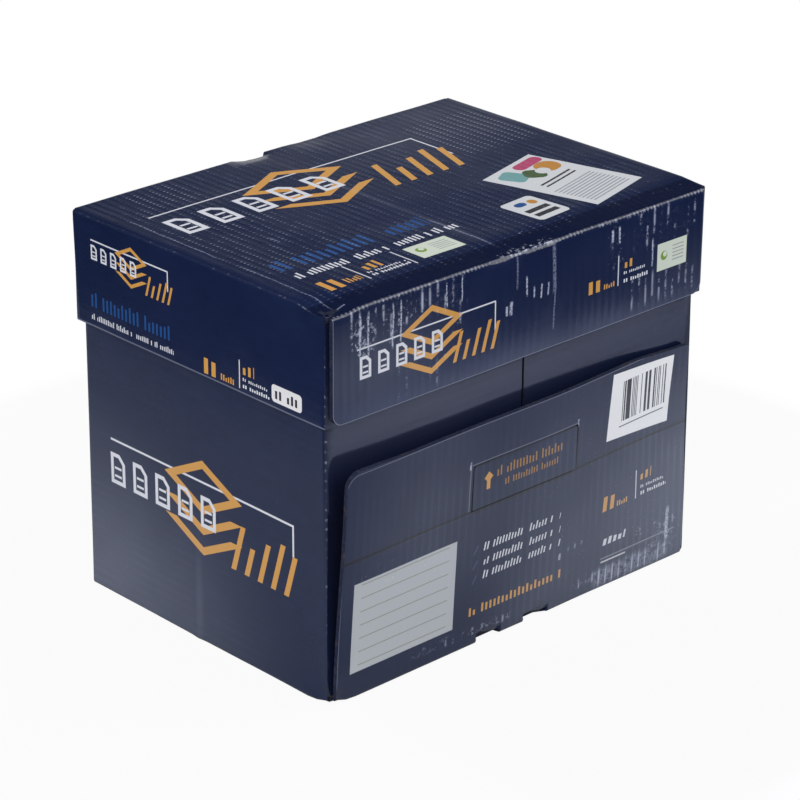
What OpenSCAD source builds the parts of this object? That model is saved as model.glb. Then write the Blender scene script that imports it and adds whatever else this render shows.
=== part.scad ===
// Carton of copier paper: a folded corrugated base with a telescoping lid,
// two die-cut handle flaps and a stack of wrapped reams inside.
// Millimetres, +Z up, origin in the middle of the underside, long side along X.
// The base and the lid are each one folded blank of corrugated board.

/* [Ream] */
// Length of a wrapped ream without its end folds
ream_l = 298.6; // [280:0.2:320]
// Width of a wrapped ream
ream_w = 211.4; // [200:0.2:230]
// Thickness of a wrapped ream
ream_h = 48.8; // [40:0.2:56]
// Rounding of the ream's four long edges
wrap_r = 1.6; // [0.5:0.1:4]
// Thickness of one layer of folded wrapper at a ream's end
tuck_t = 0.3; // [0.2:0.05:0.6]
// How far the end folds reach in from the top and the bottom edge
tuck_reach = 30; // [22:0.5:31]
// Width that an end fold has lost on each side at its free edge
tuck_slant = 26; // [15:1:40]

/* [Board] */
// Thickness of the corrugated board
board = 2.8; // [2:0.1:4]
// Radius of the pressed crease line across an outer panel
crease_r = 0.7; // [0.3:0.1:1]

/* [Base] */
// Clearance between a ream and each long wall
side_gap = 0.7; // [0.4:0.1:2]
// Clearance between a ream's end folds and each end wall
end_gap = 0.8; // [0.4:0.1:3]
// Height of the walls above the top ream
head_gap = 0.4; // [0.2:0.1:3]
// Distance of the butt seam of each long wall from the middle
seam_shift = 4; // [0:0.5:20]
// Width of the butt seam
seam_w = 0.8; // [0.4:0.1:2]
// Height of the outer panels above their fold
panel_h = 146; // [130:1:165]
// Distance from an outer panel's side edge to the carton's corner
panel_inset = 4.5; // [3:0.5:12]
// Rounding of an outer panel's top corners
panel_r = 15; // [6:0.5:20]
// Angle by which the outer panels stand off the walls
panel_lean = 3.1; // [2.5:0.1:4.5]
// Distance of the strap-worn bottom edge's middle from the carton's middle
wear_x = -3; // [-40:1:40]
// Width of each of the two crushed notches there
wear_w = 20; // [10:1:30]
// Height of a crushed notch
wear_h = 2.4; // [1:0.1:2.6]

/* [Handle flaps] */
// Width of a handle flap
handle_w = 88; // [70:1:120]
// Height of a handle flap
handle_h = 30; // [22:1:36]
// Height of the grip strip between a handle flap and its panel's top edge
grip_h = 25; // [20:1:40]
// Rounding of a handle flap's top corners
handle_r = 2; // [1:0.5:6]
// Width of the knife cut around a handle flap
cut_w = 0.5; // [0.3:0.1:1]
// Angle by which a handle flap is pressed in at its top edge
handle_press = 1.6; // [0:0.1:3]

/* [Lid] */
// Clearance between the lid and the walls of the base
lid_gap = 0.5; // [0.3:0.1:2]
// Depth of the lid's skirt, top face included
skirt_h = 70.7; // [50:0.5:90]
// Length of the lid's corner ears behind its outer flaps
ear_l = 77; // [40:1:120]
// Distance from a lid flap's side edge to the lid's corner
lid_flap_inset = 3.5; // [3:0.5:12]
// How much shorter the lid's outer flaps are than its skirt
lid_flap_short = 1.2; // [0:0.2:4]
// Rounding of a lid flap's lower corners
lid_flap_r = 7; // [3:0.5:14]

/* [Hidden] */
ream_count = 5;
$fn = 48;

// Outside of the base, measured over the end walls and over the corner flaps
base_l = ream_l + 4 * tuck_t + 2 * end_gap + 2 * board;
base_w = ream_w + 2 * side_gap + 2 * board;
wall_top = board + ream_count * ream_h + head_gap;

// Outside of the lid, over its end skirts and over its ears
lid_l = base_l + 2 * lid_gap + 2 * board;
lid_w = base_w + 2 * lid_gap + 2 * board;
lid_top = wall_top + board;
skirt_z = lid_top - skirt_h;

panel_l = base_l - 2 * panel_inset;
handle_z = panel_h - grip_h - handle_h;
lid_flap_l = lid_l - 2 * lid_flap_inset;

navy = [0.11, 0.13, 0.25];
panel_navy = [0.2, 0.22, 0.33];
wrapper_white = [0.88, 0.88, 0.86];

// Rectangle about the origin with its four corners rounded
module round_rect(l, w, r) {
    square([l - 2 * r, w], center = true);
    square([l, w - 2 * r], center = true);
    for (x = [-1, 1], y = [-1, 1])
        translate([x * (l / 2 - r), y * (w / 2 - r)]) circle(r);
}

// The same thing twice, once as it is and once turned about to the far side
module both_ways() {
    children();
    rotate([0, 0, 180]) children();
}

// Section of a folded edge: a round, down and out from the fold's inner corner, which
// ends where a board that leans out goes on
module fold_section(lean = 0) {
    intersection() {
        circle(board);
        rotate(lean) translate([-2 * board, -2 * board]) square(2 * board);
    }
}

// Flap folded up along the front: the upright board, whose free corners are rounded, its
// fold and a strip of the face that it folds from
module folded_flap(l, h, r, lean = 0) {
    difference() {
        rotate([90, 0, 90]) linear_extrude(l, center = true) {
            rotate(lean) translate([-board, 0]) square([board, h]);
            fold_section(lean);
            translate([0, -board]) square([2 * board, board]);
        }
        rotate([lean, 0, 0]) for (x = [0, 1]) mirror([x, 0, 0])
            translate([l / 2 - r, board, h - r]) rotate([90, 0, 0])
                linear_extrude(3 * board) difference() {
                    square(r + 1);
                    circle(r);
                }
    }
}

// Folded edges along both ends, trimmed to the rounded upright corners they run into
module fold_y(l, w) {
    intersection() {
        both_ways() translate([board - l / 2, 0, 0])
            rotate([90, 0, 0]) linear_extrude(w, center = true) fold_section();
        linear_extrude(4 * board, center = true) round_rect(l, w, board);
    }
}

// Four upright walls in one band with round outer corners
module wall_band(l, w, h) {
    linear_extrude(h) difference() {
        round_rect(l, w, board);
        square([l - 2 * board, w - 2 * board], center = true);
    }
}

// Frame of the front outer panel: x along it, z up it, y into the carton
module in_panel() {
    translate([0, -base_w / 2, board]) rotate([panel_lean, 0, 0]) children();
}

// Frame of the front handle flap, with its origin on the hinge crease
module in_handle() {
    in_panel() translate([0, -board, handle_z]) rotate([-handle_press, 0, 0]) children();
}

// Outer panel, folded up from the floor, with the window of the handle flap
module outer_panel() {
    difference() {
        translate([0, -base_w / 2, board]) folded_flap(panel_l, panel_h, panel_r, panel_lean);
        in_panel() {
            translate([-handle_w / 2 - cut_w, -2 * board, handle_z])
                cube([handle_w + 2 * cut_w, 3 * board, handle_h + cut_w]);
            translate([0, -board, handle_z]) rotate([0, 90, 0])
                cylinder(r = crease_r, h = panel_l + 2, center = true);
        }
    }
}

// Notches that a strap has crushed into the bottom edge of the front panel
module strap_wear() {
    for (side = [-1, 1])
        translate([wear_x + side * wear_w - wear_w / 2, -base_w / 2 - board, 0])
            rotate([90, 0, 90]) linear_extrude(wear_w)
                polygon([[-board, -1], [board, -1], [board, 0], [0, wear_h], [-board, wear_h]]);
}

module carton_base() {
    color(panel_navy) difference() {
        union() {
            // Floor, with its folds up into the end walls
            linear_extrude(board) square([base_l - 2 * board, base_w], center = true);
            translate([0, 0, board]) fold_y(base_l, base_w);
            translate([0, 0, board]) difference() {
                wall_band(base_l, base_w, wall_top - board);
                // Butt seams where the corner flaps meet
                for (side = [-1, 1])
                    translate([side * -seam_shift, side * (base_w - board) / 2, 2 * board])
                        linear_extrude(wall_top) square([seam_w, 2 * board], center = true);
            }
            both_ways() outer_panel();
        }
        strap_wear();
    }
}

module carton_lid() {
    color(navy) translate([0, 0, wall_top]) {
        linear_extrude(board) square([lid_l - 2 * board, lid_w], center = true);
        // All that is folded down from the top face
        mirror([0, 0, 1]) {
            fold_y(lid_l, lid_w);
            difference() {
                wall_band(lid_l, lid_w, wall_top - skirt_z);
                // The ears end short of the middle
                linear_extrude(2 * skirt_h, center = true)
                    square([lid_l - 2 * ear_l, lid_w + board], center = true);
            }
            both_ways() translate([0, -lid_w / 2, 0])
                folded_flap(lid_flap_l, wall_top - skirt_z - lid_flap_short, lid_flap_r);
        }
    }
}

// Die-cut flap in the front panel, hinged along its lower edge
module handle_flap() {
    color(panel_navy) in_handle() translate([0, board, cut_w]) rotate([90, 0, 0])
        linear_extrude(board) {
            translate([-handle_w / 2, 0]) square([handle_w, handle_h - cut_w - handle_r]);
            translate([-handle_w / 2 + handle_r, 0])
                square([handle_w - 2 * handle_r, handle_h - cut_w]);
            for (x = [-1, 1])
                translate([x * (handle_w / 2 - handle_r), handle_h - cut_w - handle_r])
                    circle(handle_r);
        }
}

module front_handle_flap() {
    handle_flap();
}

module back_handle_flap() {
    rotate([0, 0, 180]) handle_flap();
}

// One folded end of the wrapper: its outline at a ream's end, from one long edge
module end_tuck() {
    polygon([
        [-ream_w / 2 + wrap_r, 0], [ream_w / 2 - wrap_r, 0],
        [ream_w / 2 - tuck_slant, tuck_reach], [-ream_w / 2 + tuck_slant, tuck_reach],
    ]);
}

// Wrapped ream, counted from the bottom of the stack
module ream(i) {
    color(wrapper_white) translate([0, 0, board + (i - 1) * ream_h]) {
        translate([0, 0, ream_h / 2]) rotate([90, 0, 90])
            linear_extrude(ream_l, center = true) round_rect(ream_w, ream_h, wrap_r);
        for (turn = [0, 180]) rotate([0, 0, turn]) translate([ream_l / 2, 0, 0])
            rotate([90, 0, 90]) {
                translate([0, wrap_r]) linear_extrude(tuck_t) end_tuck();
                translate([0, ream_h - wrap_r]) mirror([0, 1]) linear_extrude(2 * tuck_t) end_tuck();
            }
    }
}

carton_base();
carton_lid();
front_handle_flap();
back_handle_flap();
for (i = [1 : ream_count])
    ream(i);
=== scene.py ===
"""Looks of a carton of copier paper: folded board, print, wear, studio and camera.

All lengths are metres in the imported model's frame: +Z up, the long side along X and the
worn front panel towards -Y. Print is laid out in millimetres on each face.
"""

import math

import bmesh
import bpy
from mathutils import Matrix, Vector


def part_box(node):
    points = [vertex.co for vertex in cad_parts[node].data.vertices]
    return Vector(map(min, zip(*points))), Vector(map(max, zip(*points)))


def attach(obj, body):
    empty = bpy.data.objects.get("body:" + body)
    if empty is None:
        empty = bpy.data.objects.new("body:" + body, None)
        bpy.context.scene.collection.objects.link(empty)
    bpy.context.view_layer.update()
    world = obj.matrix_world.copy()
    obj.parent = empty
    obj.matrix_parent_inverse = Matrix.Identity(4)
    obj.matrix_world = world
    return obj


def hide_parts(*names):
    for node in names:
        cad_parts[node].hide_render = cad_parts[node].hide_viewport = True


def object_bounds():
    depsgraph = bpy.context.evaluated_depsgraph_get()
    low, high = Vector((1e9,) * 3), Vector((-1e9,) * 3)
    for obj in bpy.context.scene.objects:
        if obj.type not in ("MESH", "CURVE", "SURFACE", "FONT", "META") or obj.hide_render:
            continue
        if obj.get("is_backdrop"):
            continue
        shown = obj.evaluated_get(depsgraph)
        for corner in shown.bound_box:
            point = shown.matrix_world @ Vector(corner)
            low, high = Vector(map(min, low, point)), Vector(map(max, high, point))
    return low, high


bl_info = {
    "name": "Copier paper carton",
    "version": (1, 0, 0),
    "blender": (4, 5, 0),
    "location": "View3D > Sidebar > Carton",
    "description": "Folded board, print, wear and studio for a carton of copier paper",
    "category": "Object",
}

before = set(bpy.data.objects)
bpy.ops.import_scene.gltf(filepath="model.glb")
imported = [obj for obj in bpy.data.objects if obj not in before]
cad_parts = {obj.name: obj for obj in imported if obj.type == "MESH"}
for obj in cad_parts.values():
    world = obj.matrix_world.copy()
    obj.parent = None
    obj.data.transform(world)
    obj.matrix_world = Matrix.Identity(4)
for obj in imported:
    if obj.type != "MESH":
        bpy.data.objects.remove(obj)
CAD_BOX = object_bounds()
MM = 0.001
LID_LOW, LID_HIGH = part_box("carton_lid")
BASE_LOW, BASE_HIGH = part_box("carton_base")

# Lines of the two folded blanks and of the handle flaps, as in the part's source
EAR_Y = 0.1124
EAR_LENGTH = 0.077
LID_FLAP_X = 0.1533
LID_FLAP_DROP = 0.0695
LID_FLAP_RADIUS = 0.007
WALL_Y = 0.1092
PANEL_X = 0.149
PANEL_FOOT_Y = 0.1119
PIVOT = Vector((0, -WALL_Y, 0.0028))
WINDOW_X = 0.0448
WINDOW_FROM = 0.091
WINDOW_TO = 0.1215
FLAP_WIDTH = 0.088
FLAP_HEIGHT = 0.0295
FLAP_GAP = 0.0005
FLAP_PRESS = math.radians(1.6)
SEAM_X = 0.004

# Lines that only the worn board has
PANEL_TOP_Y = 0.12
PANEL_TOP_Z = 0.1502
PANEL_LEFT_RADIUS = 0.01
PANEL_RIGHT_RADIUS = 0.004
EAR_RADIUS = 0.0013
SEAM_HALF = 0.0008

# How far from its fold a wall's side edge begins to carry a flap, and a little less
SLIT = 0.0064
NEAR_SLIT = 0.006

# Edges of the board that bend by less than this are shaded smooth
SMOOTH_BELOW = math.radians(32)


def srgb(red, green, blue):
    """A colour given as it looks on screen, 0 to 255, turned to linear light."""
    def linear(value):
        value /= 255
        return value / 12.92 if value <= 0.04045 else ((value + 0.055) / 1.055) ** 2.4

    return (linear(red), linear(green), linear(blue))


class CartonSizes(bpy.types.PropertyGroup):
    """Sizes of the board, its folds and its wear"""
    board: bpy.props.FloatProperty(
        name="Board", description="Thickness of the corrugated board",
        default=0.0028, min=0.001, max=0.006, unit="LENGTH")
    fold_radius: bpy.props.FloatProperty(
        name="Fold radius", description="Outer radius of a folded edge",
        default=0.0026, min=0.001, max=0.006, unit="LENGTH")
    flute_pitch: bpy.props.FloatProperty(
        name="Flute pitch", description="Distance from one flute to the next",
        default=0.00605, min=0.003, max=0.01, unit="LENGTH")
    panel_lean: bpy.props.FloatProperty(
        name="Panel lean", description="Angle by which the outer panels stand off the walls",
        default=math.radians(3.1), min=0, max=0.2, subtype="ANGLE")
    cell: bpy.props.FloatProperty(
        name="Cell", description="Size of the faces that the board is divided into",
        default=0.007, min=0.003, max=0.02, unit="LENGTH")
    unevenness: bpy.props.FloatProperty(
        name="Unevenness", description="How far the board's surface waves in and out",
        default=0.0007, min=0, max=0.003, unit="LENGTH")
    edge_dent: bpy.props.FloatProperty(
        name="Edge dent", description="Depth of the dent in the lid's back edge",
        default=0.0027, min=0, max=0.01, unit="LENGTH")


class CartonColours(bpy.types.PropertyGroup):
    """Colours of the inks, the bare board and the reams"""
    navy: bpy.props.FloatVectorProperty(
        name="Navy", description="Printed ground of the carton",
        default=srgb(23, 34, 66), min=0, max=1, subtype="COLOR")
    white_ink: bpy.props.FloatVectorProperty(
        name="White ink", description="White print",
        default=srgb(216, 218, 228), min=0, max=1, subtype="COLOR")
    gold_ink: bpy.props.FloatVectorProperty(
        name="Gold ink", description="Gold print",
        default=srgb(206, 152, 78), min=0, max=1, subtype="COLOR")
    blue_ink: bpy.props.FloatVectorProperty(
        name="Blue ink", description="Blue print",
        default=srgb(34, 76, 136), min=0, max=1, subtype="COLOR")
    kraft: bpy.props.FloatVectorProperty(
        name="Kraft", description="Unprinted inside of the board",
        default=srgb(178, 140, 100), min=0, max=1, subtype="COLOR")
    wrapper: bpy.props.FloatVectorProperty(
        name="Wrapper", description="Paper round each ream",
        default=srgb(226, 228, 226), min=0, max=1, subtype="COLOR")


class Nodes:
    """Adds nodes to one tree. Calls take sockets or plain values and return a socket."""

    def __init__(self, tree):
        self.tree = tree

    def add(self, kind, inputs=None, **settings):
        node = self.tree.nodes.new("ShaderNode" + kind)
        for key, value in settings.items():
            setattr(node, key, value)
        for key, value in (inputs or {}).items():
            self.feed(node.inputs[key], value)
        return node

    def feed(self, socket, value):
        if isinstance(value, bpy.types.NodeSocket):
            self.tree.links.new(value, socket)
        else:
            socket.default_value = value

    def maths(self, operation, *values, clamp=False):
        node = self.add("Math", operation=operation, use_clamp=clamp)
        for socket, value in zip(node.inputs, values):
            self.feed(socket, value)
        return node.outputs[0]

    def vector(self, operation, *values):
        node = self.add("VectorMath", operation=operation)
        for socket, value in zip(node.inputs, values):
            self.feed(socket, value)
        return node.outputs["Value" if operation == "LENGTH" else "Vector"]

    def chain(self, operation, values):
        """The values taken together, two at a time."""
        made, *rest = values
        for value in rest:
            made = self.maths(operation, made, value)
        return made

    def product(self, *values):
        return self.chain("MULTIPLY", values)

    def total(self, *values):
        return self.chain("ADD", values)

    def either(self, *values):
        return self.chain("MAXIMUM", values)

    def less(self, value, taken):
        return self.maths("SUBTRACT", value, taken)

    def scaled(self, value, factor, more):
        """The value times a factor, with more added."""
        return self.maths("MULTIPLY_ADD", value, factor, more)

    def absolute(self, value):
        return self.maths("ABSOLUTE", value)

    def above(self, value, limit):
        return self.maths("GREATER_THAN", value, limit)

    def below(self, value, limit):
        return self.maths("LESS_THAN", value, limit)

    def split(self, place):
        return self.add("SeparateXYZ", {"Vector": place}).outputs

    def join(self, x, y, z=0.0):
        return self.add("CombineXYZ", {"X": x, "Y": y, "Z": z}).outputs[0]

    def ramp(self, value, low, high):
        """0 below low, 1 above high, smooth between them; high may be the lower one."""
        made = self.add(
            "MapRange", {"Value": value, "From Min": low, "From Max": high},
            interpolation_type="SMOOTHSTEP")
        return made.outputs["Result"]

    def window(self, value, low, high, soft):
        """1 between low and high, with soft edges."""
        return self.product(
            self.ramp(value, low - soft, low + soft), self.ramp(value, high + soft, high - soft))

    def noise(self, place, scale, detail=2.0, roughness=0.5):
        made = self.add("TexNoise", {
            "Vector": place, "Scale": scale, "Detail": detail, "Roughness": roughness})
        return made.outputs["Fac"]

    def chance(self, value, seed=0.0):
        """A number from 0 to 1 that jumps wherever value does."""
        made = self.add(
            "TexWhiteNoise", {"W": self.total(value, seed)}, noise_dimensions="1D")
        return made.outputs["Value"]

    def blend(self, amount, under, over):
        """One colour over another. A Mix node has its colours in sockets 6 and 7."""
        made = self.add("Mix", data_type="RGBA")
        self.feed(made.inputs["Factor"], amount)
        self.feed(made.inputs[6], colour(under))
        self.feed(made.inputs[7], colour(over))
        return made.outputs[2]


def colour(value):
    """A colour with its alpha, or the socket that it already is."""
    if isinstance(value, bpy.types.NodeSocket):
        return value
    return (*tuple(value)[:3], 1.0)


def toned(tint, factor, more=0.0):
    """A colour made darker or paler."""
    return tuple(min(1, part * factor + more) for part in tint)


class Finish(Nodes):
    """A material in the making: one Principled shader and the nodes that feed it."""

    def __init__(self, name):
        self.material = bpy.data.materials.new(name)
        self.material.use_nodes = True
        super().__init__(self.material.node_tree)
        self.tree.nodes.clear()
        self.shader = self.add("BsdfPrincipled")
        self.surface = self.add("OutputMaterial").inputs["Surface"]
        self.feed(self.surface, self.shader.outputs[0])

    def set(self, **values):
        for key, value in values.items():
            self.feed(self.shader.inputs[key.replace("_", " ")], value)

    def raise_by(self, height, strength, distance):
        made = self.add("Bump", {
            "Height": height, "Strength": strength, "Distance": distance})
        self.feed(self.shader.inputs["Normal"], made.outputs[0])


def local(nodes, given, point):
    """How far to the right of a stamp's own point, and how far above it, a place lies."""
    return nodes.split(nodes.vector("SUBTRACT", given["Place"], given[point]))[:2]


def turned(nodes, given):
    """A place as it lies from a stamp's middle, turned with the stamp."""
    return nodes.add("VectorRotate", {
        "Vector": nodes.vector("SUBTRACT", given["Place"], given["Middle"]),
        "Angle": nodes.product(given["Turn"], -math.pi / 180),
    }, rotation_type="Z_AXIS").outputs[0]


def rounded_distance(nodes, place, size, corner):
    """Distance outside a rounded rectangle about the origin, below zero inside it."""
    half = nodes.vector("SCALE", size)
    half.node.inputs["Scale"].default_value = 0.5
    over = nodes.vector(
        "SUBTRACT", nodes.vector("ABSOLUTE", place),
        nodes.vector("SUBTRACT", half, nodes.join(corner, corner)))
    x, y = nodes.split(over)[:2]
    outside = nodes.vector("LENGTH", nodes.vector("MAXIMUM", nodes.join(x, y), (0, 0, 0)))
    inside = nodes.maths("MINIMUM", nodes.either(x, y), 0.0)
    return nodes.less(nodes.total(outside, inside), corner)


def inked(nodes, distance):
    """Ink with a slightly soft edge, where a distance is below zero."""
    soft = 0.3
    return nodes.maths("MULTIPLY_ADD", distance, -1 / soft, 0.5, clamp=True)


def outlined(nodes, distance, half):
    """Ink along the line where a distance is zero, by half its width to each side."""
    return inked(nodes, nodes.less(nodes.absolute(distance), half))


def within(nodes, u, v, length, height):
    """1 inside a rectangle with its lower left corner at the origin."""
    return nodes.product(
        nodes.above(u, 0.0), nodes.below(u, length), nodes.above(v, 0.0), nodes.below(v, height))


def draw_patch(nodes, given):
    """A filled rectangle with rounded corners."""
    return inked(nodes, rounded_distance(
        nodes, turned(nodes, given), given["Size"], given["Corner"]))


def draw_frame(nodes, given):
    """The outline of a rounded rectangle, such as a cut edge that catches the light."""
    place = nodes.vector("SUBTRACT", given["Place"], given["Middle"])
    away = rounded_distance(nodes, place, given["Size"], given["Corner"])
    return outlined(nodes, away, nodes.product(given["Weight"], 0.5))


def draw_scratch(nodes, given):
    """A ragged upright scratch that wanders a little and fades at its ends."""
    u, v = local(nodes, given, "Middle")
    width, length = nodes.split(given["Size"])[:2]
    drift = nodes.noise(nodes.join(given["Seed"], nodes.product(v, 0.05)), 1.0, 1.0)
    u = nodes.total(u, nodes.scaled(drift, 3.0, -1.5))
    across = nodes.maths("DIVIDE", nodes.absolute(u), width)
    along = nodes.maths("DIVIDE", nodes.absolute(v), length)
    ragged = nodes.noise(given["Place"], 0.7, 3.0, 0.7)
    return nodes.product(
        nodes.ramp(across, 0.6, 0.2), nodes.ramp(along, 0.5, 0.36),
        nodes.ramp(ragged, 0.36, 0.56))


def draw_sheets(nodes, given):
    """A row of upright pages, each an outline with a cut corner and two lines."""
    u, v = local(nodes, given, "Start")
    width, height = nodes.split(given["Size"])[:2]
    last = nodes.less(given["Count"], 1.0)
    cell = nodes.maths("FLOOR", nodes.maths("DIVIDE", u, given["Pitch"]))
    cell = nodes.maths("MINIMUM", nodes.either(cell, 0.0), last)
    u = nodes.less(u, nodes.product(cell, given["Pitch"]))
    u = nodes.scaled(width, -0.5, u)
    v = nodes.scaled(height, -0.5, v)
    box = nodes.either(
        nodes.scaled(width, -0.5, nodes.absolute(u)),
        nodes.scaled(height, -0.5, nodes.absolute(v)))
    reach = nodes.scaled(height, 0.5, nodes.product(width, 0.12))
    corner = nodes.product(nodes.less(nodes.total(u, v), reach), 0.7071)
    half = nodes.product(given["Weight"], 0.5)
    outline = outlined(nodes, nodes.total(nodes.either(box, corner), half), half)
    level = nodes.absolute(nodes.total(v, nodes.product(height, 0.1)))
    level = nodes.absolute(nodes.less(level, nodes.product(height, 0.13)))
    line = nodes.product(
        inked(nodes, nodes.less(level, nodes.product(half, 0.6))),
        nodes.below(nodes.absolute(u), nodes.product(width, 0.24)))
    return nodes.either(outline, line)


def draw_stack(nodes, given):
    """A diamond outline with two chevrons below it, like sheets in a stack."""
    u, v = local(nodes, given, "Middle")
    a, b = nodes.split(given["Size"])[:2]
    slope = nodes.maths("SQRT", nodes.total(nodes.product(a, a), nodes.product(b, b)))
    scale = nodes.maths("DIVIDE", nodes.product(a, b), slope)
    half = nodes.product(given["Weight"], 0.5)
    across = nodes.maths("DIVIDE", nodes.absolute(u), a)
    inks = []
    for layer in range(3):
        level = nodes.scaled(given["Step"], layer, v)
        away = nodes.total(across, nodes.maths("DIVIDE", nodes.absolute(level), b))
        ink = outlined(nodes, nodes.product(nodes.less(away, 1.0), scale), half)
        inks.append(nodes.product(ink, nodes.below(level, 0.0)) if layer else ink)
    return nodes.either(*inks)


def draw_strokes(nodes, given):
    """A run of upright strokes of uneven height, broken into short groups."""
    u, v = local(nodes, given, "Start")
    length, height = nodes.split(given["Size"])[:2]
    u = nodes.scaled(v, nodes.product(given["Slant"], -1.0), u)
    cells = nodes.maths("DIVIDE", u, given["Pitch"])
    cell = nodes.maths("FLOOR", cells)
    stroke = nodes.below(nodes.maths("FRACT", cells), given["Weight"])
    tall = nodes.scaled(nodes.chance(cell, given["Seed"]), 0.45, 0.6)
    top = nodes.maths("MINIMUM", nodes.product(tall, height), height)
    word = nodes.above(nodes.chance(cell, 17.3), given["Gaps"])
    return nodes.product(stroke, word, within(nodes, u, v, length, top))


def draw_bars(nodes, given):
    """Upright bars of random width."""
    u, v = local(nodes, given, "Start")
    length, height = nodes.split(given["Size"])[:2]
    cell = nodes.maths("FLOOR", nodes.maths("DIVIDE", u, given["Pitch"]))
    bar = nodes.above(nodes.chance(cell), 0.5)
    return nodes.product(bar, within(nodes, u, v, length, height))


def draw_rules(nodes, given):
    """Level lines, one above the other, within a turned rectangle."""
    place = turned(nodes, given)
    inside = inked(nodes, rounded_distance(nodes, place, given["Size"], 0.0))
    line = nodes.maths("FRACT", nodes.maths("DIVIDE", nodes.split(place)[1], given["Pitch"]))
    return nodes.product(inside, nodes.below(line, given["Weight"]))


# Each stamp: how it is drawn and the values that it takes, in their order. Values left off
# at the end are zero
STAMPS = {
    "patch": (draw_patch, "Middle", "Size", "Corner", "Turn"),
    "frame": (draw_frame, "Middle", "Size", "Corner", "Weight"),
    "scratch": (draw_scratch, "Middle", "Size", "Seed"),
    "sheets": (draw_sheets, "Start", "Size", "Pitch", "Count", "Weight"),
    "stack": (draw_stack, "Middle", "Size", "Weight", "Step"),
    "strokes": (draw_strokes, "Start", "Size", "Pitch", "Weight", "Seed", "Gaps", "Slant"),
    "bars": (draw_bars, "Start", "Size", "Pitch"),
    "rules": (draw_rules, "Middle", "Size", "Pitch", "Weight", "Turn"),
}
VECTORS = {"Place", "Middle", "Start", "Size"}


def stamp(kind):
    """A node group that gives ink, 0 to 1, for a place on a face in millimetres."""
    made = bpy.data.node_groups.get(kind)
    if made:
        return made
    made = bpy.data.node_groups.new(kind, "ShaderNodeTree")
    draw, *keys = STAMPS[kind]
    for key in ("Place", *keys):
        form = "NodeSocketVector" if key in VECTORS else "NodeSocketFloat"
        made.interface.new_socket(key, in_out="INPUT", socket_type=form)
    made.interface.new_socket("Ink", in_out="OUTPUT", socket_type="NodeSocketFloat")
    nodes = Nodes(made)
    entry = made.nodes.new("NodeGroupInput")
    leave = made.nodes.new("NodeGroupOutput")
    nodes.feed(leave.inputs[0], draw(nodes, entry.outputs))
    return made


# Colours that only the print and its labels use, and the painted shade and highlights laid among
# the print
PAPER = srgb(226, 226, 230)
LABEL = srgb(242, 243, 246)
PALE_GREEN = srgb(205, 214, 201)
CARD = srgb(206, 209, 214)
GREY_PAPER = srgb(186, 190, 196)
LEAF = srgb(120, 150, 70)
DARK = srgb(52, 54, 62)
FAINT = srgb(150, 152, 162)
RULE_GREY = srgb(150, 153, 142)
TICK = srgb(58, 70, 104)
ROSE = srgb(176, 70, 110)
TEAL = srgb(110, 158, 160)
OCHRE = srgb(186, 130, 60)
MOSS = srgb(70, 92, 60)
# Painted shade: near-black ink laid in the crease, round the cut of the handle flaps, in the
# strap's notches and along the seam of the corner flaps
GAP_PAINTED_SHADOW = srgb(9, 12, 24)
# Painted shade of the top's drooping front edge
DROOP_PAINTED_SHADOW = srgb(17, 25, 52)
# Painted shade of the band behind the outer panels and under the lid
BAND_PAINTED_SHADOW = srgb(16, 25, 52)
# Painted highlight along cut edges of the board
EDGE_PAINTED_HIGHLIGHT = srgb(100, 106, 128)
# Pale scrapes, and a painted highlight on the ridge of the crushed corner of the top
SCRATCH_AND_PAINTED_HIGHLIGHT = srgb(112, 119, 146)
RUBBED = srgb(178, 184, 206)

# Print of the lid's long sides, in two halves
LONG_TITLE = (
    ("patch", "white", (-80.5, 222.7), (109, 0.9)),
    ("patch", "white", (-26, 213.4), (0.9, 19)),
    ("stack", "gold", (-77, 222), (21, 10.5), 3.3, 9),
    ("strokes", "gold", (-60, 193.5), (38, 19), 7.6, 0.36, 3, 0, 0.3),
    ("sheets", "white", (-133, 204), (8.7, 13.8), 14, 5, 1.9),
)
LONG_FACTS = (
    ("strokes", "gold", (52.4, 205), (12.4, 9), 6.3, 0.55, 8),
    ("strokes", "gold", (65.7, 205.2), (9.5, 3.2), 2, 0.55, 2),
    ("patch", "white", (78, 214), (0.8, 19.4)),
    ("strokes", "gold", (83.6, 214.2), (8.6, 6), 4.3, 0.5, 4),
    ("strokes", "white", (83, 210.4), (19, 1.9), 1.6, 0.5, 6, 0.1),
    ("strokes", "white", (83, 205), (22, 2.6), 2, 0.6, 7, 0.1),
    ("patch", PALE_GREEN, (125.7, 212.9), (26.2, 17.7), 0.3),
    ("patch", LEAF, (118.6, 213.4), (6, 6), 3),
    ("patch", PALE_GREEN, (119.4, 214.2), (3.4, 3.4), 1.7),
    ("rules", FAINT, (131, 213), (10, 11), 2.3, 0.3),
)
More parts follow.
